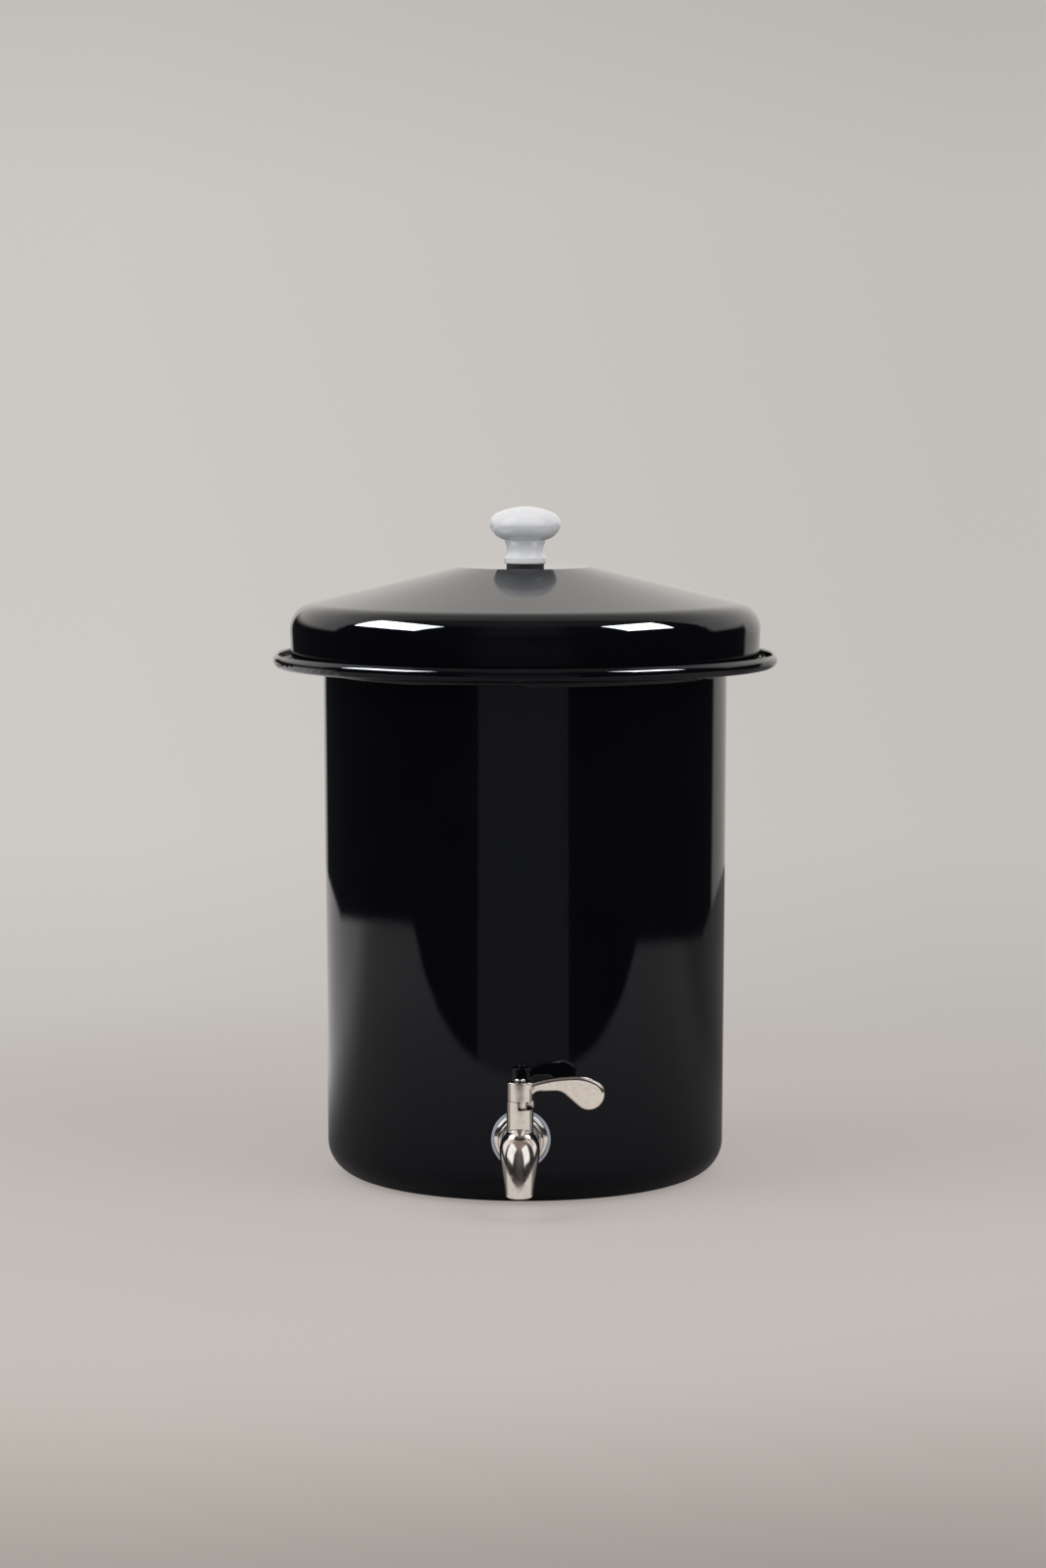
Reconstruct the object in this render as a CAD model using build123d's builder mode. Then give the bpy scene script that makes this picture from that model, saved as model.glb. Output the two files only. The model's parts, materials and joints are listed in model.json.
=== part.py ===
from build123d import *
from math import cos, radians, sin, sqrt, tan
import os

# A gravity water filter: an enamelled steel container with a clay filter pot hung in its
# mouth, a steel lid with a porcelain knob, and a quarter-turn tap near the floor.
# Millimetres. The container's axis is Z, the floor is z = 0, and the tap points along -Y.

os.makedirs("parts", exist_ok=True)

# ---------------------------------------------------------------- driving dimensions
# Clearances
turn_gap = 0.08          # a shaft turning in its hole
face_gap = 0.3           # faces and curved surfaces of pieces that move on each other
seat_gap = 0.1           # curved faces of fixed pieces that lie on each other
slip_gap = 0.25          # a fastener or shank passing through a plain hole
thread_gap = 0.05        # male and female threads, drawn as plain cylinders

# Container, pressed steel enamelled on both faces
container_wall = 1.5
mouth_r = 145.0          # outside of the wall just under the ledge
wall_taper = 2.0         # the wall is this much narrower in radius where it meets the floor
base_corner_r = 23.0
ledge_z = 366.0          # underside of the ledge that carries the pot and the lid
ledge_corner_r = 5.0
ledge_w = 36.2           # outside of the wall to the outside of the upturned rim
rim_h = 9.8              # ledge underside to the rim's top edge
rim_corner_r = 5.5
rim_lean = 2.6           # the rim's top edge leans back inwards by this much
rim_bend_r = 3.0

# Clay filter pot
pot_wall = 15.0
pot_floor = 18.0
pot_mouth_gap = 5.5      # between the container's mouth and the pot's wall
pot_taper = 26.0         # the pot's wall leans in by this much from mouth to foot
pot_depth = 207.0        # ledge down to the pot's underside
pot_foot_corner_r = 22.0
pot_bowl_corner_r = 18.0
pot_lip_gap = 6.7        # between the pot's lip and the inside of the lid's skirt
pot_lip_h = 21.5
pot_edge_r = 4.0

# Lid
lid_wall = 1.3
lid_rim_gap = 13.2       # outside of the skirt to the outside of the rim
skirt_flare = 1.6        # the skirt is this much wider in radius at the shoulder than at the ledge
lid_h = 70.0             # ledge to the flat top
lid_slope = 13.4         # degrees
lid_corner_r = 19.0
lid_flat_r = 48.0
lid_flat_corner_r = 3.0

# Knob and its fixing
gasket_r = 13.5
gasket_t = 2.2
knob_foot_r = 15.2
knob_foot_h = 4.0
knob_neck_r = 13.2
knob_neck_h = 10.0       # foot to the narrowest place
knob_collar_r = 14.8
knob_collar_h = 16.0
knob_belly_h = 17.0      # foot to the ball's underside
knob_belly_r = 22.6      # a point partway up to the girth
knob_belly_mid_h = 21.5
knob_ball_r = 25.8
knob_girth_h = 27.8      # foot to the widest place
knob_crown_r = 20.3      # where the side turns over into the flatter crown
knob_crown_h = 36.4
knob_h = 41.0            # foot to the top
knob_edge_r = 1.2
insert_r = 4.0
insert_l = 14.0
insert_recess = 0.6
knob_screw_r = 2.5
knob_screw_l = 17.0
knob_screw_head_r = 4.75
knob_screw_head_h = 3.2
knob_screw_head_edge_r = 1.0
cross_w = 1.2            # cross recess in the knob screw's head
cross_l = 6.0
cross_depth = 1.6
knob_washer_r = 8.0
knob_washer_t = 1.2

# Tap: its fixing through the wall
tap_z = 48.0             # height of the tap's shank above the floor
shank_r = 8.0
shank_bore_r = 4.5
outer_gasket_r = 20.5
outer_gasket_t = 2.4     # at the middle of the curved wall
inner_gasket_r = 17.0
inner_gasket_t = 1.6     # at its edge
flange_r = 18.6
flange_t = 2.6
flange_crown_r = 14.5
flange_edge_t = 0.8
inner_washer_r = 15.0
inner_washer_t = 1.5
nut_across_flats = 22.0
nut_t = 8.0
nut_chamfer = 0.8
shank_tail = 5.0         # shank showing past the nut
shank_chamfer = 1.0
boss_step = 2.05         # the boss stands out past the tap's body by this much
boss_t = 4.6
boss_edge_r = 1.6
spigot_step = 1.4        # the spigot that screws into the tap's body, past the valve chamber
shank_seal_t = 0.8
shank_seal_w = 2.4

# Tap: body, in front of the boss
valve_reach = 19.0       # front of the shank's seal to the valve's axis
body_wall = 3.15         # metal round the spigot's socket
elbow_lead = 12.0        # the elbow's surface starts this far behind the valve's axis
# sections of the spout: degrees turned down from level, forward of the valve's axis,
# below the shank's axis, and what is taken off the body's radius across and front to back
spout_sections = (
    (33.7, 13.79, 5.1, 0.4, 0.16),
    (57.0, 19.54, 15.5, 2.25, 1.82),
    (82.5, 21.19, 26.4, 4.05, 3.01),
    (90.0, 21.29, 30.4, 4.4, 3.1),
)
outlet_reach = 20.0      # the valve's axis to the outlet bore's axis
outlet_bore_r = 7.0
outlet_edge_r = 1.8
outlet_bore_l = 20.0
passage_r = 5.5          # from the valve forwards
drop_passage_r = 4.5     # from there down to the outlet's bore
barrel_r = 9.3
barrel_h = 32.0          # above the shank's axis
barrel_root_r = 1.5
notch_depth = 5.6

# Tap: valve
ball_r = 7.5
port_r = 4.0
seat_step = 1.6          # a seat stands out past the ball by this much
seat_cover = 0.1         # and reaches this far past the ball along the bore
seat_back = 3.8          # ball centre to a seat's inner edge
seat_port_gap = 0.4
stem_r = 4.9
stem_shoulder_w = 1.1
stem_shoulder_h = 1.8
thrust_washer_t = 0.8
tang_t = 3.0
tang_w = 6.0
tang_gap = 0.1
tang_floor = 1.1         # metal left between the ball's port and the tang's slot
stem_square = 6.6
stem_square_h = 9.0
ring_section_r = 0.6
ring_pitch = 4.0

# Tap: lever
hub_r = 8.95
hub_h = 12.9
hub_edge_r = 1.0
hub_clear = 1.5          # hub's top down to the stem's top
lug_w = 2.0
lug_h = 3.2
lug_gap = 0.5            # between the lug and the stem
lever_t = 7.0
lever_edge_r = 2.4
arm_under = 6.6          # hub's underside to the arm's underside
arm_top = 16.9           # hub's underside to the highest point of the arm
arm_crest = 38.0         # valve axis to that point
crest_drop = 1.9         # from there down to the arm's top edge halfway back to the axis
throat_x = 28.2          # where the arm's underside turns down into the paddle
paddle_shoulder = (52.9, 13.1)   # points round the paddle, from the axis and the hub's underside
paddle_tip = (57.9, 5.1)
paddle_chin = (48.0, -6.4)
paddle_jaw = (39.7, -3.4)
gusset_x = 7.9
gusset_r = 6.0
throat_r = 9.0
lever_screw_r = 2.0
lever_screw_l = 9.0
lever_screw_head_r = 4.0
lever_screw_head_h = 2.2
lever_screw_edge_r = 1.7
lever_screw_socket = 2.5

# ---------------------------------------------------------------- places that follow
base_r = mouth_r - wall_taper
rim_r = mouth_r + ledge_w
ledge_top = ledge_z + container_wall
lid_skirt_r = rim_r - lid_rim_gap
lid_shoulder_r = lid_skirt_r + skirt_flare
lid_top = ledge_top + lid_h
knob_z = lid_top + gasket_t

seat_r = ball_r + seat_step
seat_front = ball_r + seat_cover
chamber_r = seat_r + seat_gap
spigot_r = chamber_r + spigot_step
body_r = spigot_r + body_wall
boss_r = body_r + boss_step

wall_r = base_r + (mouth_r - base_r) * tap_z / ledge_z
tap_hole_r = shank_r + slip_gap

flange_back = wall_r + outer_gasket_t
boss_back = flange_back + flange_t
seal_back = boss_back + boss_t
body_back = seal_back + shank_seal_t
valve_y = body_back + valve_reach
outlet_h = tap_z - spout_sections[-1][2]
barrel_top = tap_z + barrel_h
inner_wall_r = wall_r - container_wall
inner_gasket_sag = inner_wall_r - sqrt(inner_wall_r**2 - inner_gasket_r**2)
inner_gasket_face = inner_wall_r - inner_gasket_sag - inner_gasket_t
nut_front = inner_gasket_face - inner_washer_t
shank_end = nut_front - nut_t - shank_tail

stem_bore_r = stem_r + turn_gap
stem_shoulder_r = stem_r + stem_shoulder_w
ring_groove_r = stem_r - 2 * ring_section_r - thread_gap
tang_z = tap_z + port_r + tang_floor
shoulder_z = tap_z + chamber_r + face_gap
shoulder_top = shoulder_z + stem_shoulder_h
stem_bore_z = shoulder_top + thrust_washer_t + turn_gap
hub_z = barrel_top + face_gap
hub_top = hub_z + hub_h
notch_z = barrel_top - notch_depth
stem_square_z = hub_top - hub_clear - stem_square_h
stem_top = stem_square_z + stem_square_h
ring_heights = [stem_bore_z + ring_pitch * (step + 1) for step in range(2)]


def front(distance):
    # The plane square to the tap's shank, facing forwards, this far from the container's axis.
    return Plane(origin=(0, -distance, tap_z), x_dir=(1, 0, 0), z_dir=(0, -1, 0))


def valve_plane(height):
    # The level plane at this height, centred on the valve's upright axis.
    return Plane(origin=(0, -valve_y, height))


def outlet_plane(height):
    # The level plane at this height, centred on the outlet's upright bore.
    return Plane(origin=(0, -valve_y - outlet_reach, height))


def spout_plane(angle, reach, drop):
    # A section plane of the spout, turned down from level by this angle. Its x runs front to back.
    turn = radians(angle)
    return Plane(
        origin=(0, -valve_y - reach, tap_z - drop),
        x_dir=(0, -sin(turn), cos(turn)),
        z_dir=(0, -cos(turn), -sin(turn)),
    )


def ring(plane, outer_r, inner_r, length):
    with BuildPart() as piece:
        with BuildSketch(plane):
            Circle(outer_r)
            Circle(inner_r, mode=Mode.SUBTRACT)
        extrude(amount=length)
    return piece


def wall_cone(offset_r):
    # The container's tapering wall near the tap, as a solid of the wall's outside moved by offset_r.
    half = 2 * outer_gasket_r
    slope = (mouth_r - base_r) / ledge_z
    with BuildPart(Plane.XY.offset(tap_z)) as piece:
        Cone(
            wall_r + offset_r - slope * half,
            wall_r + offset_r + slope * half,
            2 * half,
        )
    return piece.part


# ---------------------------------------------------------------- container
with BuildPart() as container_shell:
    with BuildSketch(Plane.XZ):
        with BuildLine():
            FilletPolyline(
                (0, 0),
                (base_r, 0),
                (mouth_r, ledge_z),
                (rim_r, ledge_z),
                (rim_r, ledge_z + rim_h - rim_lean),
                (rim_r - rim_lean, ledge_z + rim_h),
                radius=(base_corner_r, ledge_corner_r, rim_corner_r, rim_bend_r),
            )
            offset(amount=container_wall, side=Side.LEFT)
        make_face()
    revolve(axis=Axis.Z)
    with BuildSketch(front(0)):
        Circle(tap_hole_r)
    extrude(amount=2 * wall_r, mode=Mode.SUBTRACT)

# ---------------------------------------------------------------- clay filter pot
pot_mouth_r = mouth_r - container_wall - pot_mouth_gap
pot_foot_r = pot_mouth_r - pot_taper
pot_lip_r = lid_skirt_r - lid_wall - pot_lip_gap
pot_foot_z = ledge_top - pot_depth
pot_lip_top = ledge_top + pot_lip_h

with BuildPart() as filter_pot:
    with BuildSketch(Plane.XZ):
        with BuildLine():
            outline = FilletPolyline(
                (0, pot_foot_z),
                (pot_foot_r, pot_foot_z),
                (pot_mouth_r, ledge_top),
                (pot_lip_r, ledge_top),
                (pot_lip_r, pot_lip_top),
                (pot_mouth_r - pot_wall, pot_lip_top),
                (pot_foot_r - pot_wall, pot_foot_z + pot_floor),
                (0, pot_foot_z + pot_floor),
                radius=(
                    pot_foot_corner_r,
                    pot_edge_r / 2,
                    pot_edge_r / 2,
                    pot_edge_r,
                    pot_edge_r,
                    pot_bowl_corner_r,
                ),
            )
            Line(outline @ 1, outline @ 0)
        make_face()
    revolve(axis=Axis.Z)

# ---------------------------------------------------------------- lid
lid_corner_z = lid_h - (lid_shoulder_r - lid_flat_r) * tan(radians(lid_slope))

with BuildPart() as lid_shell:
    with BuildSketch(Plane.XZ):
        with BuildLine():
            FilletPolyline(
                (lid_skirt_r, ledge_top),
                (lid_shoulder_r, ledge_top + lid_corner_z),
                (lid_flat_r, lid_top),
                (0, lid_top),
                radius=(lid_corner_r, lid_flat_corner_r),
            )
            offset(amount=lid_wall, side=Side.LEFT)
        make_face()
    revolve(axis=Axis.Z)
    with BuildSketch(Plane.XY.offset(lid_top)):
        Circle(knob_screw_r + slip_gap)
    extrude(amount=-2 * lid_wall, mode=Mode.SUBTRACT)

knob_gasket = ring(Plane.XY.offset(lid_top), gasket_r, knob_screw_r + slip_gap, gasket_t)

insert_hole_r = insert_r + seat_gap
crown_drop = knob_h - knob_crown_h
crown_sphere_r = (knob_crown_r**2 + crown_drop**2) / (2 * crown_drop)

with BuildPart() as lid_knob:
    with BuildSketch(Plane.XZ):
        with BuildLine():
            belly = ThreePointArc(
                (knob_collar_r, knob_z + knob_belly_h),
                (knob_belly_r, knob_z + knob_belly_mid_h),
                (knob_ball_r, knob_z + knob_girth_h),
            )
            side = TangentArc(
                belly @ 1,
                (knob_crown_r, knob_z + knob_crown_h),
                tangent=(0, 1),
            )
            RadiusArc(side @ 1, (0, knob_z + knob_h), -crown_sphere_r)
            Polyline(
                (0, knob_z + knob_h),
                (0, knob_z),
                (knob_foot_r, knob_z),
                (knob_foot_r, knob_z + knob_foot_h),
            )
            neck = ThreePointArc(
                (knob_foot_r, knob_z + knob_foot_h),
                (knob_neck_r, knob_z + knob_neck_h),
                (knob_collar_r, knob_z + knob_collar_h),
            )
            Line(neck @ 1, belly @ 0)
        make_face()
    revolve(axis=Axis.Z)
    fillet(edges().group_by(Axis.Z)[0].sort_by(SortBy.RADIUS)[-1], knob_edge_r)
    with BuildSketch(Plane.XY.offset(knob_z)):
        Circle(insert_hole_r)
    extrude(amount=insert_l + 2 * insert_recess, mode=Mode.SUBTRACT)

with BuildPart() as knob_insert:
    with BuildSketch(Plane.XY.offset(knob_z + insert_recess)):
        Circle(insert_r)
        Circle(knob_screw_r + thread_gap, mode=Mode.SUBTRACT)
    extrude(amount=insert_l)

screw_seat_z = lid_top - lid_wall - knob_washer_t
knob_washer = ring(Plane.XY.offset(screw_seat_z), knob_washer_r, knob_screw_r + slip_gap, knob_washer_t)

with BuildPart() as knob_screw:
    with BuildSketch(Plane.XY.offset(screw_seat_z)):
        Circle(knob_screw_head_r)
    extrude(amount=-knob_screw_head_h)
    fillet(edges().group_by(Axis.Z)[0], knob_screw_head_edge_r)
    with BuildSketch(Plane.XY.offset(screw_seat_z)):
        Circle(knob_screw_r)
    extrude(amount=knob_screw_l)
    with BuildSketch(Plane.XY.offset(screw_seat_z - knob_screw_head_h)):
        Rectangle(cross_w, cross_l)
        Rectangle(cross_l, cross_w)
    extrude(amount=cross_depth, mode=Mode.SUBTRACT)

# ---------------------------------------------------------------- tap fixing
with BuildPart() as outer_gasket:
    with BuildSketch(front(flange_back)):
        Circle(outer_gasket_r)
        Circle(tap_hole_r, mode=Mode.SUBTRACT)
    extrude(amount=-2 * outer_gasket_t)
    add(wall_cone(seat_gap), mode=Mode.SUBTRACT)

with BuildPart() as flange_washer:
    with BuildSketch(Plane(origin=(0, -flange_back, tap_z), x_dir=(1, 0, 0), z_dir=(0, 0, 1))):
        with BuildLine():
            face = Polyline(
                (flange_r, -flange_edge_t),
                (flange_r, 0),
                (tap_hole_r, 0),
                (tap_hole_r, -flange_t),
                (flange_crown_r, -flange_t),
            )
            TangentArc(face @ 1, face @ 0, tangent=(1, 0))
        make_face()
    revolve(axis=Axis((0, 0, tap_z), (0, -1, 0)))

with BuildPart() as tap_shank:
    with BuildSketch(front(shank_end)):
        Circle(shank_r)
    extrude(amount=boss_back - shank_end)
    chamfer(edges().group_by(Axis.Y)[-1], shank_chamfer)
    with BuildSketch(front(boss_back)):
        Circle(boss_r)
    extrude(amount=boss_t)
    fillet(edges().filter_by(GeomType.CIRCLE).group_by(Axis.Y)[0].sort_by(SortBy.RADIUS)[-1], boss_edge_r)
    with BuildSketch(front(seal_back)):
        Circle(spigot_r - thread_gap)
    extrude(amount=valve_y - seat_front - seal_back)
    with BuildSketch(front(shank_end)):
        Circle(shank_bore_r)
    extrude(amount=valve_y, mode=Mode.SUBTRACT)

shank_seal = ring(front(seal_back), spigot_r + shank_seal_w, spigot_r, shank_seal_t)

with BuildPart() as inner_gasket:
    with BuildSketch(front(inner_gasket_face)):
        Circle(inner_gasket_r)
        Circle(tap_hole_r, mode=Mode.SUBTRACT)
    extrude(amount=inner_gasket_t + 2 * inner_gasket_sag)
    add(wall_cone(-container_wall - seat_gap), mode=Mode.INTERSECT)

inner_washer = ring(front(nut_front), inner_washer_r, tap_hole_r, inner_washer_t)

with BuildPart() as tap_nut:
    with BuildSketch(front(nut_front)):
        RegularPolygon(nut_across_flats / 2, 6, major_radius=False)
    extrude(amount=-nut_t)
    chamfer(edges().group_by(Axis.Y)[-1], nut_chamfer)
    with BuildSketch(front(nut_front)):
        Circle(shank_r + thread_gap)
    extrude(amount=-nut_t, mode=Mode.SUBTRACT)

# ---------------------------------------------------------------- tap body
with BuildPart() as tap_body:
    with BuildSketch(front(body_back)):
        Circle(body_r)
    extrude(amount=valve_reach - elbow_lead)
    for reach in (-elbow_lead, 0):
        with BuildSketch(spout_plane(0, reach, 0)):
            Circle(body_r)
    for angle, reach, drop, off_width, off_depth in spout_sections:
        with BuildSketch(spout_plane(angle, reach, drop)):
            Ellipse(body_r - off_depth, body_r - off_width)
    loft()
    with BuildSketch(valve_plane(tap_z)):
        Circle(barrel_r)
    extrude(amount=barrel_top - tap_z)
    barrel_root = edges(Select.LAST).filter_by_position(Axis.Z, tap_z + 1, barrel_top - 1)
    fillet(barrel_root, barrel_root_r)
    fillet(edges().group_by(Axis.Z)[0], outlet_edge_r)
    # the socket for the shank and the valve chamber
    with BuildSketch(front(body_back)):
        Circle(spigot_r)
    extrude(amount=valve_reach - seat_front, mode=Mode.SUBTRACT)
    with BuildSketch(front(body_back)):
        Circle(chamber_r)
    extrude(amount=valve_reach + seat_front, mode=Mode.SUBTRACT)
    # the way from the valve to the outlet
    with BuildSketch(front(valve_y)):
        Circle(passage_r)
    extrude(amount=outlet_reach, mode=Mode.SUBTRACT)
    with BuildSketch(outlet_plane(outlet_h)):
        Circle(outlet_bore_r)
    extrude(amount=outlet_bore_l, mode=Mode.SUBTRACT)
    with BuildSketch(outlet_plane(outlet_h)):
        Circle(drop_passage_r)
    extrude(amount=tap_z - outlet_h, mode=Mode.SUBTRACT)
    # the stem's bore, with a wider seat for its shoulder
    with BuildSketch(valve_plane(tap_z)):
        Circle(stem_bore_r)
    extrude(amount=barrel_top - tap_z, mode=Mode.SUBTRACT)
    with BuildSketch(valve_plane(tap_z)):
        Circle(stem_shoulder_r + turn_gap)
    extrude(amount=stem_bore_z - tap_z, mode=Mode.SUBTRACT)
    # the quarter-turn notch for the lever's stop lug, from the front round to +X
    with BuildSketch(valve_plane(notch_z)):
        with Locations((-lug_w / 2 - face_gap, lug_w / 2 + face_gap)):
            Rectangle(2 * barrel_r, 2 * barrel_r, align=(Align.MIN, Align.MAX))
    extrude(amount=notch_depth, mode=Mode.SUBTRACT)

# ---------------------------------------------------------------- valve
with BuildPart() as valve_ball:
    with Locations((0, -valve_y, tap_z)):
        Sphere(ball_r)
    with BuildSketch(Plane(origin=(0, -valve_y, tap_z), z_dir=(1, 0, 0))):
        Circle(port_r)
    extrude(amount=ball_r, both=True, mode=Mode.SUBTRACT)
    with BuildSketch(valve_plane(tang_z - tang_gap)):
        Rectangle(tang_t + 2 * tang_gap, 2 * ball_r)
    extrude(amount=ball_r, mode=Mode.SUBTRACT)


def valve_seat(outer_face, inner_face):
    with BuildPart() as piece:
        with BuildSketch(front(outer_face)):
            Circle(seat_r)
            Circle(port_r + seat_port_gap, mode=Mode.SUBTRACT)
        extrude(amount=inner_face - outer_face)
        with Locations((0, -valve_y, tap_z)):
            Sphere(ball_r + turn_gap, mode=Mode.SUBTRACT)
    return piece


rear_seat = valve_seat(valve_y - seat_front, valve_y - seat_back)
front_seat = valve_seat(valve_y + seat_front, valve_y + seat_back)

with BuildPart() as valve_stem:
    with BuildSketch(valve_plane(tang_z)):
        Rectangle(tang_t, tang_w)
    extrude(amount=shoulder_z - tang_z)
    with BuildSketch(valve_plane(shoulder_z)):
        Circle(stem_shoulder_r)
    extrude(amount=stem_shoulder_h)
    with BuildSketch(valve_plane(shoulder_top)):
        Circle(stem_r)
    extrude(amount=stem_square_z - shoulder_top)
    with BuildSketch(valve_plane(stem_square_z)):
        Rectangle(stem_square, stem_square)
    extrude(amount=stem_square_h)
    for height in ring_heights:
        with BuildSketch(valve_plane(height - ring_section_r)):
            Circle(2 * stem_r)
            Circle(ring_groove_r, mode=Mode.SUBTRACT)
        extrude(amount=2 * ring_section_r, mode=Mode.SUBTRACT)
    with BuildSketch(valve_plane(stem_top)):
        Circle(lever_screw_r + thread_gap)
    extrude(amount=-lever_screw_l, mode=Mode.SUBTRACT)

with BuildPart() as stem_rings:
    for height in ring_heights:
        with BuildSketch(Plane(origin=(0, -valve_y, height), x_dir=(1, 0, 0), z_dir=(0, -1, 0))):
            with Locations((stem_r - ring_section_r, 0)):
                Circle(ring_section_r - turn_gap / 2)
        revolve(axis=Axis((0, -valve_y, 0), (0, 0, 1)))

thrust_washer = ring(valve_plane(shoulder_top), stem_shoulder_r, stem_bore_r, thrust_washer_t)

# ---------------------------------------------------------------- lever
lever_plane = Plane(origin=(0, -valve_y, hub_z), x_dir=(1, 0, 0), z_dir=(0, -1, 0))

with BuildPart() as lever_handle:
    with BuildSketch(lever_plane) as blade:
        with BuildLine():
            crest = ThreePointArc(
                (0, arm_top - 4 * crest_drop),
                (arm_crest / 2, arm_top - crest_drop),
                (arm_crest, arm_top),
            )
            shoulder = TangentArc(crest @ 1, paddle_shoulder, tangent=(1, 0))
            tip = TangentArc(shoulder @ 1, paddle_tip, tangent=shoulder % 1)
            chin = TangentArc(tip @ 1, paddle_chin, tangent=tip % 1)
            jaw = TangentArc(chin @ 1, paddle_jaw, tangent=chin % 1)
            Polyline(
                jaw @ 1,
                (throat_x, arm_under),
                (gusset_x, arm_under),
                (gusset_x, 0),
                (0, 0),
                crest @ 0,
            )
        make_face()
        fillet(blade.vertices().sort_by_distance((throat_x, arm_under))[0], throat_r)
        fillet(blade.vertices().sort_by_distance((gusset_x, arm_under))[0], gusset_r)
    extrude(amount=lever_t / 2, both=True)
    sides = edges().group_by(Axis.Y)
    outline = (sides[0] + sides[-1]).filter_by_position(Axis.X, 1, paddle_tip[0])
    fillet(outline, lever_edge_r)
    with BuildSketch(valve_plane(hub_z)):
        Circle(hub_r)
    extrude(amount=hub_h)
    hub_rim = edges().filter_by(GeomType.CIRCLE).filter_by_position(Axis.Z, hub_top - 0.1, hub_top + 0.1)
    fillet(hub_rim, hub_edge_r)
    with BuildSketch(valve_plane(hub_z - lug_h)):
        Circle(hub_r)
        Circle(stem_r + lug_gap, mode=Mode.SUBTRACT)
        Rectangle(hub_r, lug_w, align=(Align.MIN, Align.CENTER), mode=Mode.INTERSECT)
    extrude(amount=lug_h)
    # the stem's socket: round, then square, then the screw's hole
    with BuildSketch(valve_plane(hub_z)):
        Circle(stem_bore_r)
    extrude(amount=stem_square_z - hub_z, mode=Mode.SUBTRACT)
    with BuildSketch(valve_plane(stem_square_z)):
        Rectangle(stem_square + 2 * turn_gap, stem_square + 2 * turn_gap)
    extrude(amount=stem_square_h + turn_gap, mode=Mode.SUBTRACT)
    with BuildSketch(valve_plane(stem_top)):
        Circle(lever_screw_r + slip_gap)
    extrude(amount=hub_clear + 1, mode=Mode.SUBTRACT)

with BuildPart() as lever_screw:
    with BuildSketch(valve_plane(hub_top)):
        Circle(lever_screw_head_r)
    extrude(amount=lever_screw_head_h)
    fillet(edges().group_by(Axis.Z)[-1], lever_screw_edge_r)
    with BuildSketch(valve_plane(hub_top + lever_screw_head_h)):
        RegularPolygon(lever_screw_socket / 2, 6, major_radius=False)
    extrude(amount=-lever_screw_head_h / 2, mode=Mode.SUBTRACT)
    with BuildSketch(valve_plane(hub_top)):
        Circle(lever_screw_r)
    extrude(amount=-lever_screw_l)

# ---------------------------------------------------------------- written out
pieces = {
    "container_shell": container_shell,
    "filter_pot": filter_pot,
    "lid_shell": lid_shell,
    "knob_gasket": knob_gasket,
    "lid_knob": lid_knob,
    "knob_insert": knob_insert,
    "knob_washer": knob_washer,
    "knob_screw": knob_screw,
    "outer_gasket": outer_gasket,
    "flange_washer": flange_washer,
    "tap_shank": tap_shank,
    "shank_seal": shank_seal,
    "inner_gasket": inner_gasket,
    "inner_washer": inner_washer,
    "tap_nut": tap_nut,
    "tap_body": tap_body,
    "rear_seat": rear_seat,
    "front_seat": front_seat,
    "valve_ball": valve_ball,
    "valve_stem": valve_stem,
    "stem_rings": stem_rings,
    "thrust_washer": thrust_washer,
    "lever_handle": lever_handle,
    "lever_screw": lever_screw,
}
for label, piece in pieces.items():
    piece.part.label = label
    export_step(piece.part, f"parts/{label}.step")
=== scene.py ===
import json
import math

import bmesh
import bpy
from mathutils import Matrix, Vector

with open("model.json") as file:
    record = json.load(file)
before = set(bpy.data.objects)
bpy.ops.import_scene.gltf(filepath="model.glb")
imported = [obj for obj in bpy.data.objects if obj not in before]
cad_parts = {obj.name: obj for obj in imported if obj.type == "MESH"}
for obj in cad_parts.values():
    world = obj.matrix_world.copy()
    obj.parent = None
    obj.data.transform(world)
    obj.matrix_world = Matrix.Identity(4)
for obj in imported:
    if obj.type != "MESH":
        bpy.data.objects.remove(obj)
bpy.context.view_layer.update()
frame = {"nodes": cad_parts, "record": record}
print("frame loaded:", len(frame["nodes"]), "nodes")


# node helpers, shared by the finishes, the floor and the world
def addNode(tree, kind, **settings):
    node = tree.nodes.new(kind)
    for key, value in settings.items():
        setattr(node, key, value)
    return node


def feed(tree, source, socket):
    if isinstance(source, bpy.types.NodeSocket):
        tree.links.new(source, socket)
    else:
        socket.default_value = source


def calculate(tree, operation, first, second=None):
    node = addNode(tree, "ShaderNodeMath", operation=operation)
    feed(tree, first, node.inputs[0])
    if second is not None:
        feed(tree, second, node.inputs[1])
    return node.outputs[0]


def remap(tree, value, fromRange, toRange=(0.0, 1.0), smooth=False):
    node = addNode(tree, "ShaderNodeMapRange")
    node.interpolation_type = "SMOOTHSTEP" if smooth else "LINEAR"
    feed(tree, value, node.inputs["Value"])
    node.inputs["From Min"].default_value, node.inputs["From Max"].default_value = fromRange
    node.inputs["To Min"].default_value, node.inputs["To Max"].default_value = toRange
    return node.outputs["Result"]


def window(tree, value, start, end, soft):
    # 1 between start and end, falling to 0 over a soft edge each side
    rising = remap(tree, value, (start - soft, start + soft), smooth=True)
    falling = remap(tree, value, (end - soft, end + soft), (1.0, 0.0), smooth=True)
    return calculate(tree, "MULTIPLY", rising, falling)


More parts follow.
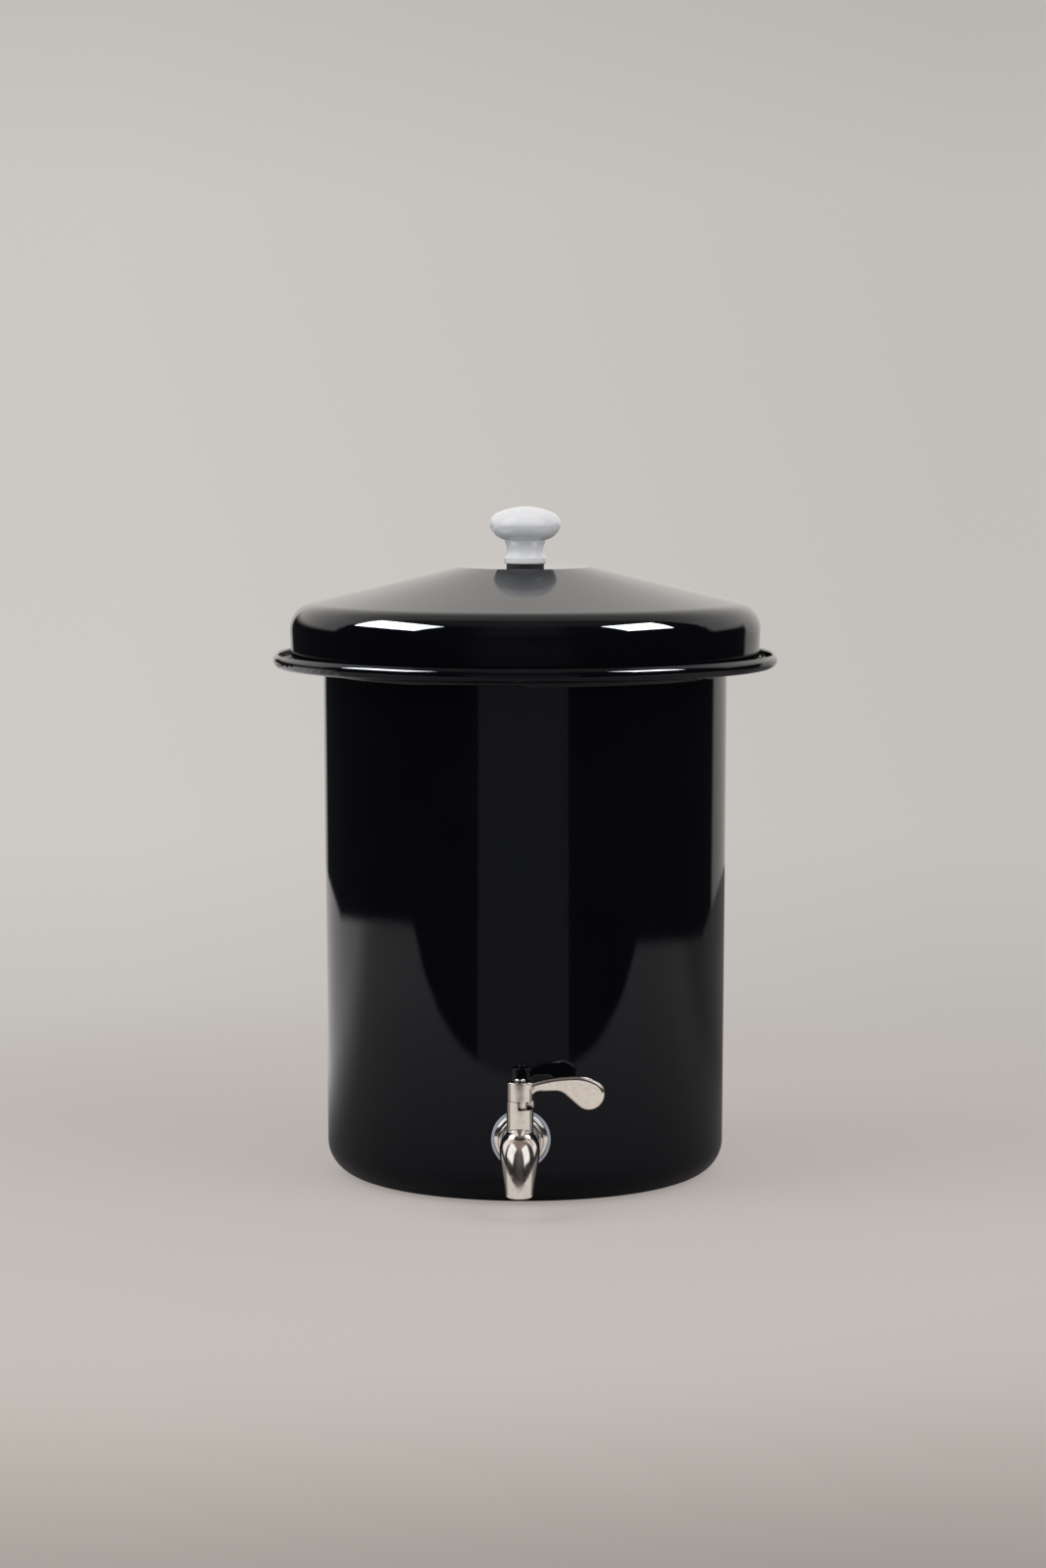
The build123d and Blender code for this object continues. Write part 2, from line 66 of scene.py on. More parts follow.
def ramp(tree, value, stops):
    # a grey level that follows value through a short list of (value, level) stops
    low, high = stops[0][0], stops[-1][0]
    node = addNode(tree, "ShaderNodeValToRGB")
    elements = node.color_ramp.elements
    while len(elements) < len(stops):
        elements.new(0.5)
    for element, (place, level) in zip(elements, stops):
        element.position = (place - low) / (high - low)
        element.color = (level, level, level, 1)
    feed(tree, remap(tree, value, (low, high)), node.inputs["Fac"])
    return node.outputs["Color"]


def blend(tree, factor, first, second, mode="MIX"):
    node = addNode(tree, "ShaderNodeMix", data_type="RGBA", blend_type=mode)
    for source, name in ((factor, "Factor"), (first, "A"), (second, "B")):
        if isinstance(source, tuple):
            source = (*source, 1)
        feed(tree, source, node.inputs[name])
    return node.outputs["Result"]


noiseSpan = (0.3, 0.7)  # the part of a noise's range that is spread over 0 to 1


def noise(tree, size, detail=3.0, stretch=(1, 1, 1)):
    # noise on the piece's own coordinates, size is its grain in metres
    coords = addNode(tree, "ShaderNodeTexCoord")
    mapping = addNode(tree, "ShaderNodeMapping")
    mapping.inputs["Scale"].default_value = stretch
    pattern = addNode(tree, "ShaderNodeTexNoise")
    pattern.inputs["Scale"].default_value = 1 / size
    pattern.inputs["Detail"].default_value = detail
    tree.links.new(coords.outputs["Object"], mapping.inputs["Vector"])
    tree.links.new(mapping.outputs["Vector"], pattern.inputs["Vector"])
    return remap(tree, pattern.outputs["Fac"], noiseSpan)


def pores(tree, size, width):
    # small round pits scattered over the piece, 1 at a pit's middle: size is their spacing in metres,
    # width a share of it
    coords = addNode(tree, "ShaderNodeTexCoord")
    cells = addNode(tree, "ShaderNodeTexVoronoi", feature="F1")
    cells.inputs["Scale"].default_value = 1 / size
    tree.links.new(coords.outputs["Object"], cells.inputs["Vector"])
    return remap(tree, cells.outputs["Distance"], (width, 0.0), smooth=True)


def relief(tree, shader, heights, firstShare=1.0):
    # patterns stacked as bumps, each with its depth in metres; firstShare is how much the first counts
    normal = None
    for height, depth in heights:
        bump = addNode(tree, "ShaderNodeBump")
        bump.inputs["Distance"].default_value = depth
        tree.links.new(height, bump.inputs["Height"])
        if normal is None:
            feed(tree, firstShare, bump.inputs["Strength"])
        else:
            tree.links.new(normal, bump.inputs["Normal"])
        normal = bump.outputs["Normal"]
    tree.links.new(normal, shader.inputs["Normal"])


def newFinish(name, fixed):
    finish = bpy.data.materials.new(name)
    finish.use_nodes = True
    shader = finish.node_tree.nodes["Principled BSDF"]
    for socket, value in fixed.items():
        shader.inputs[socket].default_value = value
    return finish, finish.node_tree, shader


def paint(tree, shader, tone, pattern, span):
    # the tone as colour, and a roughness that follows a 0 to 1 pattern across the span
    tree.links.new(tone, shader.inputs["Base Color"])
    tree.links.new(remap(tree, pattern, (0, 1), span), shader.inputs["Roughness"])


# Grains, spacings and depths are in metres. A wave, a peel or the like gives its grain and its depth, and
# pits and specks give their spacing, their width as a share of it, and their depth or strength.

# glossy black glass enamel: deep, slightly wavy, with a faint orange peel and a few pinholes
enamel = {
    "deep": (0.0014, 0.0016, 0.0028),
    "thin": (0.0024, 0.0025, 0.0040),
    "toneGrain": 0.09,
    "roughGrain": 0.03,
    "roughness": (0.030, 0.050),
    "wave": (0.045, 0.000022),
    "peel": (0.0035, 0.0000014),
    "stipple": (0.0011, 0.0000008),
    "pinhole": (0.014, 0.022, 0.00001),
    "fixed": {"IOR": 1.5, "Specular Tint": (0.85, 0.92, 1.0, 1)},
}


def makeEnamel():
    finish, tree, shader = newFinish("blackEnamel", enamel["fixed"])
    cloud = noise(tree, enamel["toneGrain"], detail=4.0)
    tone = blend(tree, cloud, enamel["deep"], enamel["thin"])
    paint(tree, shader, tone, noise(tree, enamel["roughGrain"], detail=4.0), enamel["roughness"])
    waveGrain, waveDepth = enamel["wave"]
    peelGrain, peelDepth = enamel["peel"]
    stippleGrain, stippleDepth = enamel["stipple"]
    pinholeSize, pinholeWidth, pinholeDepth = enamel["pinhole"]
    pinhole = calculate(tree, "MULTIPLY", pores(tree, pinholeSize, pinholeWidth), -1.0)
    relief(tree, shader, [
        (noise(tree, waveGrain, detail=1.0), waveDepth),
        (noise(tree, peelGrain, detail=2.0), peelDepth),
        (noise(tree, stippleGrain, detail=1.0), stippleDepth),
        (pinhole, pinholeDepth),
    ])
    return finish


# glazed porcelain: a soft white body with grey shade in the glaze and fine specks
porcelain = {
    "body": (0.84, 0.84, 0.84),
    "shade": (0.79, 0.795, 0.80),
    "toneGrain": 0.012,
    "speckTone": (0.45, 0.43, 0.40),
    "specks": (0.004, 0.07, 0.5),
    "roughGrain": 0.006,
    "roughness": (0.06, 0.13),
    "wave": (0.02, 0.00006),
    "peel": (0.0018, 0.0000015),
    "fixed": {
        "IOR": 1.5,
        "Subsurface Weight": 0.12,
        "Subsurface Scale": 0.002,
        "Subsurface Radius": (1.0, 0.8, 0.7),
        "Coat Weight": 0.3,
    },
}


def makePorcelain():
    finish, tree, shader = newFinish("whitePorcelain", porcelain["fixed"])
    shade = noise(tree, porcelain["toneGrain"], detail=4.0)
    body = blend(tree, shade, porcelain["body"], porcelain["shade"])
    speckSize, speckWidth, speckShare = porcelain["specks"]
    specks = calculate(tree, "MULTIPLY", pores(tree, speckSize, speckWidth), speckShare)
    tone = blend(tree, specks, body, porcelain["speckTone"])
    paint(tree, shader, tone, noise(tree, porcelain["roughGrain"], detail=3.0), porcelain["roughness"])
    waveGrain, waveDepth = porcelain["wave"]
    peelGrain, peelDepth = porcelain["peel"]
    relief(tree, shader, [
        (noise(tree, waveGrain, detail=1.0), waveDepth),
        (noise(tree, peelGrain, detail=2.0), peelDepth),
    ])
    return finish


# cast stainless steel, polished by hand: soft flow in the surface, fine buffing, a few pits, and
# painted shade, near black, in the crevices and hollows that ambient occlusion finds
castSteel = {
    "bright": (0.88, 0.84, 0.795),
    "dull": (0.80, 0.76, 0.715),
    "toneGrain": 0.006,
    "pitTone": (0.30, 0.28, 0.26),
    # painted shade: the colour the steel turns in crevices, how far the occlusion looks and the span it
    # darkens over
    "paintedShade": (0.035, 0.032, 0.03),
    "paintedShadeReach": 0.0035,
    "paintedShadeFrom": (0.78, 0.30),
    "roughGrain": 0.002,
    "roughness": (0.11, 0.20),
    "flow": (0.011, 0.00005),
    "buffing": (0.0007, 0.0000016),
    "buffingStretch": (1, 1, 6),
    "pit": (0.0045, 0.035, 0.00004),
    "draft": 0.045,  # the lever's arm leans by this slope, as it leaves the mould
    "armFrom": (0.0085, 0.0115),  # where the lever's hub gives way to its arm
    "fixed": {"Metallic": 1.0},
}


def makeCastSteel(name, draft):
    finish, tree, shader = newFinish(name, castSteel["fixed"])
    coords = addNode(tree, "ShaderNodeTexCoord")
    split = addNode(tree, "ShaderNodeSeparateXYZ")
    tree.links.new(coords.outputs["Object"], split.inputs["Vector"])
    pitSize, pitWidth, pitDepth = castSteel["pit"]
    pit = pores(tree, pitSize, pitWidth)
    cloud = noise(tree, castSteel["toneGrain"], detail=4.0)
    tone = blend(tree, cloud, castSteel["bright"], castSteel["dull"])
    tone = blend(tree, pit, tone, castSteel["pitTone"])
    # painted shade: ambient occlusion darkens the steel's colour in crevices, in the notch and between
    # the lever and the barrel
    hollow = addNode(tree, "ShaderNodeAmbientOcclusion", samples=8)
    hollow.inputs["Distance"].default_value = castSteel["paintedShadeReach"]
    paintedShade = remap(tree, hollow.outputs["AO"], castSteel["paintedShadeFrom"], smooth=True)
    tone = blend(tree, paintedShade, tone, castSteel["paintedShade"])
    paint(tree, shader, tone, noise(tree, castSteel["roughGrain"], detail=4.0), castSteel["roughness"])
    onArm = remap(tree, split.outputs["X"], castSteel["armFrom"], smooth=True)
    flowGrain, flowDepth = castSteel["flow"]
    buffingGrain, buffingDepth = castSteel["buffing"]
    relief(tree, shader, [
        (split.outputs["Z"], draft),
        (noise(tree, flowGrain, detail=1.0), flowDepth),
        (noise(tree, buffingGrain, detail=2.0, stretch=castSteel["buffingStretch"]), buffingDepth),
        (calculate(tree, "MULTIPLY", pit, -1.0), pitDepth),
    ], onArm)
    return finish


# turned metal: rings of tool marks round an axis, so the grain is long round it
turnedMetals = {
    "turnedSteel": {
        "light": (0.66, 0.65, 0.64),
        "dark": (0.50, 0.49, 0.48),
        "roughness": (0.24, 0.38),
        "ringStretch": (1, 6, 1),  # front to back as the tap's nut, and the knob's screw shares it
        "fixed": {"Metallic": 1.0},
    },
    "turnedBrass": {
        "light": (0.80, 0.60, 0.30),
        "dark": (0.62, 0.42, 0.18),
        "roughness": (0.22, 0.36),
        "ringStretch": (1, 1, 6),  # turned about the knob's upright axis
        "fixed": {"Metallic": 1.0},
    },
}
turning = {"rings": (0.0009, 0.000012), "tarnish": (0.004, 0.00002)}


def makeTurned(name, settings):
    finish, tree, shader = newFinish(name, settings["fixed"])
    ringGrain, ringDepth = turning["rings"]
    tarnishGrain, tarnishDepth = turning["tarnish"]
    rings = noise(tree, ringGrain, detail=3.0, stretch=settings["ringStretch"])
    tarnish = noise(tree, tarnishGrain, detail=4.0)
    tone = blend(tree, tarnish, settings["light"], settings["dark"])
    paint(tree, shader, tone, rings, settings["roughness"])
    relief(tree, shader, [(tarnish, tarnishDepth), (rings, ringDepth)])
    return finish


# unglazed terracotta: sandy grain, iron specks, pale lime bloom and throwing rings
clay = {
    "body": (0.47, 0.205, 0.105),
    "fired": (0.60, 0.30, 0.17),
    "toneGrain": 0.05,
    "bloomTone": (0.66, 0.46, 0.33),
    "bloomGrain": 0.02,
    "bloomStretch": (1, 1, 2.5),
    "bloomShare": 0.35,
    "ironTone": (0.16, 0.06, 0.035),
    "iron": (0.005, 0.16, 0.8),
    "roughGrain": 0.004,
    "roughness": (0.82, 0.95),
    "throwing": (0.012, 0.0005),
    "throwingStretch": (0.05, 0.05, 1),
    "sand": (0.003, 0.0004),
    "pit": (0.0026, 0.25, 0.0004),
    "fixed": {"IOR": 1.45, "Specular IOR Level": 0.25},
}


def makeClay():
    finish, tree, shader = newFinish("firedClay", clay["fixed"])
    tone = blend(tree, noise(tree, clay["toneGrain"], detail=5.0), clay["body"], clay["fired"])
    bloom = noise(tree, clay["bloomGrain"], detail=6.0, stretch=clay["bloomStretch"])
    bloom = calculate(tree, "MULTIPLY", bloom, clay["bloomShare"])
    tone = blend(tree, bloom, tone, clay["bloomTone"])
    ironSize, ironWidth, ironShare = clay["iron"]
    iron = calculate(tree, "MULTIPLY", pores(tree, ironSize, ironWidth), ironShare)
    tone = blend(tree, iron, tone, clay["ironTone"])
    paint(tree, shader, tone, noise(tree, clay["roughGrain"], detail=3.0), clay["roughness"])
    throwingGrain, throwingDepth = clay["throwing"]
    sandGrain, sandDepth = clay["sand"]
    pitSize, pitWidth, pitDepth = clay["pit"]
    relief(tree, shader, [
        (noise(tree, throwingGrain, detail=2.0, stretch=clay["throwingStretch"]), throwingDepth),
        (noise(tree, sandGrain, detail=4.0), sandDepth),
        (calculate(tree, "MULTIPLY", pores(tree, pitSize, pitWidth), -1.0), pitDepth),
    ])
    return finish


# soft and plastic pieces: a mottled base tone and a fine moulded grain
softFinishes = {
    "clearSilicone": {
        "tones": ((0.60, 0.67, 0.82), (0.68, 0.74, 0.87)),
        "mottle": 0.010,
        "roughness": (0.28, 0.34),
        "grain": (0.0010, 0.0000015),
        "fixed": {
            "IOR": 1.41,
            "Transmission Weight": 0.35,
            "Subsurface Weight": 0.3,
            "Subsurface Scale": 0.003,
        },
    },
    "blackRubber": {
        "tones": ((0.010, 0.010, 0.010), (0.026, 0.026, 0.027)),
        "mottle": 0.003,
        "roughness": (0.50, 0.70),
        "grain": (0.0006, 0.00004),
        "fixed": {"IOR": 1.5, "Sheen Weight": 0.1},
    },
    "sealPlastic": {
        "tones": ((0.80, 0.80, 0.78), (0.88, 0.88, 0.86)),
        "mottle": 0.004,
        "roughness": (0.38, 0.50),
        "grain": (0.0008, 0.00001),
        "fixed": {"IOR": 1.38, "Subsurface Weight": 0.2, "Subsurface Scale": 0.001},
    },
}
mottleDeeper = 3  # how many times as deep as the grain the mottling is


def makeSoft(name, settings):
    finish, tree, shader = newFinish(name, settings["fixed"])
    fineGrain, fineDepth = settings["grain"]
    mottle = noise(tree, settings["mottle"], detail=4.0)
    fine = noise(tree, fineGrain, detail=3.0)
    paint(tree, shader, blend(tree, mottle, *settings["tones"]), fine, settings["roughness"])
    relief(tree, shader, [(mottle, fineDepth * mottleDeeper), (fine, fineDepth)])
    return finish


finishOf = {
    "black_enamel": makeEnamel(),
    "white_porcelain": makePorcelain(),
    "polished_steel": makeCastSteel("castSteel", 0.0),
    "plain_steel": makeTurned("turnedSteel", turnedMetals["turnedSteel"]),
    "brass": makeTurned("turnedBrass", turnedMetals["turnedBrass"]),
    "fired_clay": makeClay(),
    "clear_silicone": makeSoft("clearSilicone", softFinishes["clearSilicone"]),
    "black_rubber": makeSoft("blackRubber", softFinishes["blackRubber"]),
    "seal_plastic": makeSoft("sealPlastic", softFinishes["sealPlastic"]),
}
slotOf = {part["node"]: part["material_slot"] for part in frame["record"]["subparts"]}
for nodeName, part in frame["nodes"].items():
    part.data.materials.clear()
    part.data.materials.append(finishOf[slotOf[nodeName]])
frame["nodes"]["lever_handle"].data.materials[0] = makeCastSteel("castLever", castSteel["draft"])
print("finishes given:", len(finishOf) + 1)

# camera at the height and distance of someone looking across a table
cameraView = {
    "across": -0.0016,
    "back": -2.8435,
    "height": 0.555,
    "tilt": 5.51,
    "turn": 1.2,
    "lens": 90.86,
    "sensor": 36,
    "near": 0.05,
}


def makeCamera():
    turn = math.radians(cameraView["turn"])
    lensData = bpy.data.cameras.new("studioCamera")
    lensData.lens = cameraView["lens"]
    lensData.sensor_width = cameraView["sensor"]
    lensData.clip_start = cameraView["near"]
    camera = bpy.data.objects.new("studioCamera", lensData)
    place = Vector((cameraView["across"], cameraView["back"], cameraView["height"]))
    place.rotate(Matrix.Rotation(turn, 3, "Z"))
    camera.location = place
    camera.rotation_euler = (math.radians(90 - cameraView["tilt"]), 0, turn)
    bpy.context.scene.collection.objects.link(camera)
    bpy.context.scene.camera = camera


# softboxes left and right of the camera and a weak one in front, azimuth and elevation in degrees from
# the front. They light the pieces but aren't mirrored. The glints are mirrored only: two small and bright
# ones by the enamel, two wide and soft ones by every other piece, and a low faint band in front by the
# container alone.
softboxes = {
    "leftSoftbox": {
        "azimuth": -66, "elevation": 40, "size": (1.7, 1.9), "power": 24.5, "seenIn": None,
    },
    "rightSoftbox": {
        "azimuth": 58, "elevation": 40, "size": (1.7, 1.9), "power": 17.5, "seenIn": None,
    },
    "frontSoftbox": {
        "azimuth": 0, "elevation": 6, "size": (1.5, 1.0), "power": 7, "seenIn": None,
    },
    "leftEnamelGlint": {
        "azimuth": -77, "elevation": 43, "size": (1.60, 0.95), "power": 165, "seenIn": "enamel",
    },
    "rightEnamelGlint": {
        "azimuth": 69, "elevation": 43, "size": (1.10, 0.95), "power": 125, "seenIn": "enamel",
    },
    "frontBandGlint": {
        "azimuth": 0, "elevation": -12, "size": (2.3, 0.8), "power": 0.61, "seenIn": "container",
    },
    "leftSteelGlint": {
        "azimuth": -64, "elevation": 35, "size": (2.0, 2.1), "power": 13.5, "seenIn": "steel",
    },
    "rightSteelGlint": {
        "azimuth": 50, "elevation": 35, "size": (1.7, 2.1), "power": 11.5, "seenIn": "steel",
    },
}
lampAim = Vector((0, 0, 0.3))
lampReach = 2.5
# the pale table just in front, as every piece that isn't enamelled mirrors it
tableGlint = {
    "from": -0.64,
    "to": -0.16,
    "width": 1.8,
    "height": 0.0004,
    "power": 1.25,
    "colour": (1.0, 0.92, 0.86),
}


def piecesSeeing(kind):
    # steel stands for every piece that isn't enamelled
    enamelled = [node for node, slot in slotOf.items() if slot == "black_enamel"]
    seeing = {
        "container": ["container_shell"],
        "enamel": enamelled,
        "steel": [node for node in slotOf if node not in enamelled],
    }[kind]
    pieces = bpy.data.collections.new(kind + "Pieces")
    for nodeName in seeing:
        pieces.objects.link(frame["nodes"][nodeName])
    return pieces


seers = {kind: piecesSeeing(kind) for kind in ("container", "enamel", "steel")}


def hangLamp(name, size, power, seenIn):
    lamp = bpy.data.lights.new(name, "AREA")
    lamp.shape = "RECTANGLE"
    lamp.size, lamp.size_y = size
    lamp.energy = power
    holder = bpy.data.objects.new(name, lamp)
    holder.visible_camera = False
    holder.visible_glossy = seenIn is not None
    holder.visible_diffuse = seenIn is None
    holder.visible_transmission = seenIn is None
    if seenIn is not None:
        holder.light_linking.receiver_collection = seers[seenIn]
    bpy.context.scene.collection.objects.link(holder)
    return holder


def makeSoftbox(name, settings):
    holder = hangLamp(name, settings["size"], settings["power"], settings["seenIn"])
    azimuth, elevation = math.radians(settings["azimuth"]), math.radians(settings["elevation"])
    away = Vector((
        math.sin(azimuth) * math.cos(elevation),
        -math.cos(azimuth) * math.cos(elevation),
        math.sin(elevation),
    ))
    holder.location = lampAim + away * lampReach
    holder.rotation_euler = (-away).to_track_quat("-Z", "Y").to_euler()


def makeTableGlint():
    start, end = tableGlint["from"], tableGlint["to"]
    holder = hangLamp("tableGlint", (tableGlint["width"], end - start), tableGlint["power"], "steel")
    holder.data.color = tableGlint["colour"]
    holder.location = (0, (start + end) / 2, tableGlint["height"])
    holder.rotation_euler = (math.pi, 0, 0)


# what the room gives: an even fill, a pale backdrop for the camera and through clear pieces, and for
# reflections a bright backdrop behind, a dark room with a faint strip in front and a brighter patch over
# it, and a dim ceiling. Angles are in degrees, levels are pairs of an elevation and a brightness.
room = {
    "fill": (0.95, 0.96, 1.0),
    "fillLevel": 0.52,
    "paper": (0.605, 0.580, 0.550),
    "paperLevels": [
        (-17.0, 0.62), (-15.3, 0.79), (-13.9, 0.92), (-11.8, 0.99), (-9.8, 0.88), (-8.3, 0.95),
        (-6.2, 1.02), (2.9, 0.99), (5.6, 0.90),
    ],
    "paperLow": (1.0, 0.96, 0.93),  # what the paper's colour is multiplied by low down
    "paperLowFrom": (-9.0, -12.5),
    "paperRight": 0.90,
    "paperRightFrom": (-7.0, 5.0),
    "behind": {
        "from": -21,
        "to": 43,
        "soft": 3,
        "wide": 75,
        "wideAbove": (5, 14),
        "colour": (1.0, 0.955, 0.91),
        "levels": [
            (-12, 0.30), (-2, 0.66), (2, 0.76), (15, 0.98), (34, 0.98), (60, 0.40), (90, 0.30),
        ],
    },
    "front": {
        "half": 25,
        "soft": 8,
        "colour": (0.045, 0.039, 0.044),
        "levels": [(-20, 1.0), (-4.6, 1.0), (-3.5, 0.80), (8, 0.50), (50, 0.50)],
    },
    "above": {
        "half": 22,
        "soft": 10,
        "colour": (0.065, 0.052, 0.045),
        "levels": [(15, 0.0), (27, 1.0), (50, 1.0), (65, 0.0)],
    },
    "dark": 0.018,
    "ceiling": {"from": 58, "soft": 8, "colour": (0.215, 0.168, 0.143)},
}


def makeRoom():
    world = bpy.data.worlds.new("studioRoom")
    bpy.context.scene.world = world
    world.use_nodes = True
    tree = world.node_tree
    tree.nodes.clear()
    coords = addNode(tree, "ShaderNodeTexCoord")
    split = addNode(tree, "ShaderNodeSeparateXYZ")
    tree.links.new(coords.outputs["Generated"], split.inputs["Vector"])
    across, along, up = (split.outputs[axis] for axis in "XYZ")
    degrees = math.degrees(1)
    elevation = calculate(tree, "MULTIPLY", calculate(tree, "ARCSINE", up), degrees)
    behindAngle = calculate(tree, "MULTIPLY", calculate(tree, "ARCTAN2", across, along), degrees)
    toFront = calculate(tree, "MULTIPLY", along, -1.0)
    frontAngle = calculate(tree, "MULTIPLY", calculate(tree, "ARCTAN2", across, toFront), degrees)

    def lit(mask, colour, base):
        return blend(tree, 1.0, base, blend(tree, mask, (0, 0, 0), colour), "ADD")

    glow = room["behind"]
    narrow = window(tree, behindAngle, glow["from"], glow["to"], glow["soft"])
    wide = window(tree, behindAngle, -glow["wide"], glow["wide"], glow["soft"])
    wide = calculate(tree, "MULTIPLY", wide, remap(tree, elevation, glow["wideAbove"], smooth=True))
    mask = calculate(tree, "MAXIMUM", narrow, wide)
    backdrop = blend(tree, 1.0, ramp(tree, elevation, glow["levels"]), glow["colour"], "MULTIPLY")
    seen = blend(tree, mask, (room["dark"],) * 3, backdrop)
    for glow in (room["front"], room["above"]):
        mask = window(tree, frontAngle, -glow["half"], glow["half"], glow["soft"])
        level = ramp(tree, elevation, glow["levels"])
        seen = lit(mask, blend(tree, 1.0, level, glow["colour"], "MULTIPLY"), seen)
    glow = room["ceiling"]
    raised = remap(tree, elevation, (glow["from"] - glow["soft"], glow["from"] + glow["soft"]))
    seen = lit(raised, glow["colour"], seen)

    paper = blend(tree, 1.0, ramp(tree, elevation, room["paperLevels"]), room["paper"], "MULTIPLY")
    rightShade = remap(tree, behindAngle, room["paperRightFrom"], (1.0, room["paperRight"]))
    paper = blend(tree, 1.0, paper, rightShade, "MULTIPLY")
    lowPaper = blend(tree, 1.0, paper, room["paperLow"], "MULTIPLY")
    paper = blend(tree, remap(tree, elevation, room["paperLowFrom"]), paper, lowPaper)

    path = addNode(tree, "ShaderNodeLightPath")
    fill = tuple(room["fillLevel"] * part for part in room["fill"])
    seen = blend(tree, path.outputs["Is Glossy Ray"], fill, seen)
    seen = blend(tree, path.outputs["Is Transmission Ray"], seen, paper)
    seen = blend(tree, path.outputs["Is Camera Ray"], seen, paper)
    glowNode = addNode(tree, "ShaderNodeBackground")
    tree.links.new(seen, glowNode.inputs["Color"])
    output = addNode(tree, "ShaderNodeOutputWorld")
    tree.links.new(glowNode.outputs[0], output.inputs["Surface"])


# the table top: seen near the object only, further off the backdrop's own colour takes over
tableTop = {
    "half": 3.0,
    "drop": 0.0003,
    "colour": (0.60, 0.553, 0.520),
    "seenRound": (0.40, 0.95),
    "evenShare": 0.55,
    "evenLevel": 0.955,
    "front": -0.64,
    "frontTilt": 0.04,
    "rounds": ((-0.075, 0.0, 1.42), (0.0, 0.75, 1.20)),  # middle across and along, radius
    "soft": 0.055,
    # painted shade in reflections: the table's mirrored level close to the object and further off, and
    # where it changes
    "nearPaintedShade": (0.36, 0.80),
    "nearRange": (0.16, 1.1),
    "backFrom": (0.05, 0.45),
    "sideFrom": (0.05, 0.3),
    # painted shade at the back on the right and painted light at the back on the left, seen in
    # reflections only
    "rightBackPaintedShade": (0.02, 0.018, 0.017),
    "rightBackPaintedShadeShare": 0.55,
    "leftBackPaintedLight": (1.0, 0.96, 0.92),
    "fixed": {"Roughness": 0.9, "Specular IOR Level": 0.0},
}


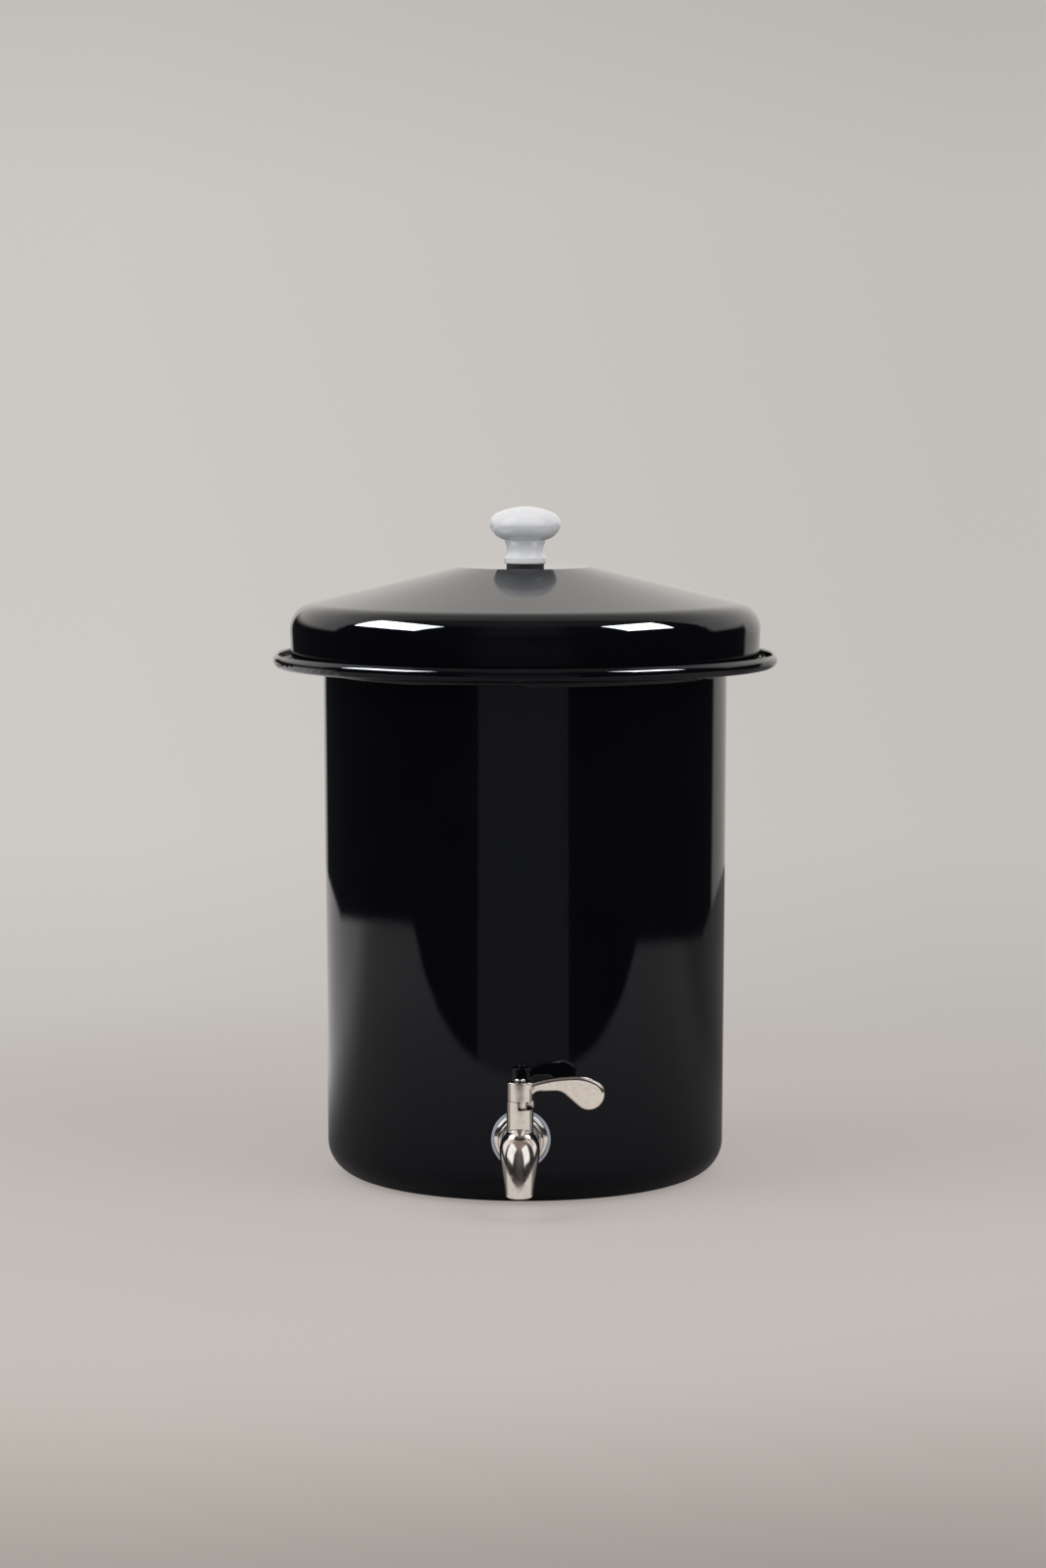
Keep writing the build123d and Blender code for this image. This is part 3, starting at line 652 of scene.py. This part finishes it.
def makeTableTop():
    sheet = bmesh.new()
    bmesh.ops.create_grid(sheet, x_segments=2, y_segments=2, size=tableTop["half"])
    data = bpy.data.meshes.new("paleTableTop")
    sheet.to_mesh(data)
    sheet.free()
    top = bpy.data.objects.new("paleTableTop", data)
    top.location = (0, 0, -tableTop["drop"])
    bpy.context.scene.collection.objects.link(top)
    finish, tree, shader = newFinish("paleTablePaper", tableTop["fixed"])
    data.materials.append(finish)

    coords = addNode(tree, "ShaderNodeTexCoord")
    split = addNode(tree, "ShaderNodeSeparateXYZ")
    length = addNode(tree, "ShaderNodeVectorMath", operation="LENGTH")
    tree.links.new(coords.outputs["Object"], split.inputs["Vector"])
    tree.links.new(coords.outputs["Object"], length.inputs[0])
    across, along = split.outputs["X"], split.outputs["Y"]
    path = addNode(tree, "ShaderNodeLightPath")

    # mirrored, the table ends in a straight front edge and is round at the sides and the back
    soft = tableTop["soft"]
    inRounds = []
    for middleAcross, middleAlong, reach in tableTop["rounds"]:
        offset = addNode(tree, "ShaderNodeVectorMath", operation="DISTANCE")
        tree.links.new(coords.outputs["Object"], offset.inputs[0])
        offset.inputs[1].default_value = (middleAcross, middleAlong, 0)
        roundEdge = (reach - soft, reach + soft)
        inRounds.append(remap(tree, offset.outputs["Value"], roundEdge, (1.0, 0.0), smooth=True))
    fromFront = calculate(tree, "ADD", along, calculate(tree, "MULTIPLY", across, -tableTop["frontTilt"]))
    frontEdge = (tableTop["front"] - soft / 2, tableTop["front"] + soft / 2)
    inFront = remap(tree, fromFront, frontEdge, smooth=True)
    cover = calculate(tree, "MULTIPLY", calculate(tree, "MAXIMUM", *inRounds), inFront)
    near = remap(tree, length.outputs["Value"], tableTop["seenRound"], (1.0, 0.0), smooth=True)
    alpha = blend(tree, path.outputs["Is Camera Ray"], cover, near)

    # mirrored, it has painted shade close to the object and at the back on the right, and painted light
    # at the back
    # on the left: there its colour is darker or brighter in reflections only
    level = remap(tree, length.outputs["Value"], tableTop["nearRange"], tableTop["nearPaintedShade"])
    mirrored = blend(tree, level, (0, 0, 0), tableTop["colour"])
    behindIt = remap(tree, along, tableTop["backFrom"], smooth=True)
    rightFrom = tableTop["sideFrom"]
    leftFrom = tuple(-place for place in rightFrom)
    rightBack = calculate(tree, "MULTIPLY", behindIt, remap(tree, across, rightFrom))
    leftBack = calculate(tree, "MULTIPLY", behindIt, remap(tree, across, leftFrom))
    # painted shade on the right back and painted light on the left back of the mirrored colour
    rightBack = calculate(tree, "MULTIPLY", rightBack, tableTop["rightBackPaintedShadeShare"])
    mirrored = blend(tree, rightBack, mirrored, tableTop["rightBackPaintedShade"])
    mirrored = blend(tree, leftBack, mirrored, tableTop["leftBackPaintedLight"])
    colour = blend(tree, path.outputs["Is Glossy Ray"], tableTop["colour"], mirrored)
    tree.links.new(colour, shader.inputs["Base Color"])

    # a share of what the camera sees of it is an even tone, so the shadows on it stay faint
    even = addNode(tree, "ShaderNodeEmission")
    evenColour = tuple(tableTop["evenLevel"] * part for part in tableTop["colour"])
    even.inputs["Color"].default_value = (*evenColour, 1)
    mixed = addNode(tree, "ShaderNodeMixShader")
    share = calculate(tree, "MULTIPLY", path.outputs["Is Camera Ray"], tableTop["evenShare"])
    tree.links.new(share, mixed.inputs["Fac"])
    tree.links.new(shader.outputs[0], mixed.inputs[1])
    tree.links.new(even.outputs[0], mixed.inputs[2])
    clear = addNode(tree, "ShaderNodeBsdfTransparent")
    faded = addNode(tree, "ShaderNodeMixShader")
    tree.links.new(alpha, faded.inputs["Fac"])
    tree.links.new(clear.outputs[0], faded.inputs[1])
    tree.links.new(mixed.outputs[0], faded.inputs[2])
    output = tree.nodes["Material Output"]
    tree.links.new(faded.outputs[0], output.inputs["Surface"])


makeCamera()
for softboxName, softboxSettings in softboxes.items():
    makeSoftbox(softboxName, softboxSettings)
makeTableGlint()
makeRoom()
makeTableTop()
bpy.context.scene.view_settings.view_transform = "Standard"
print("studio ready")
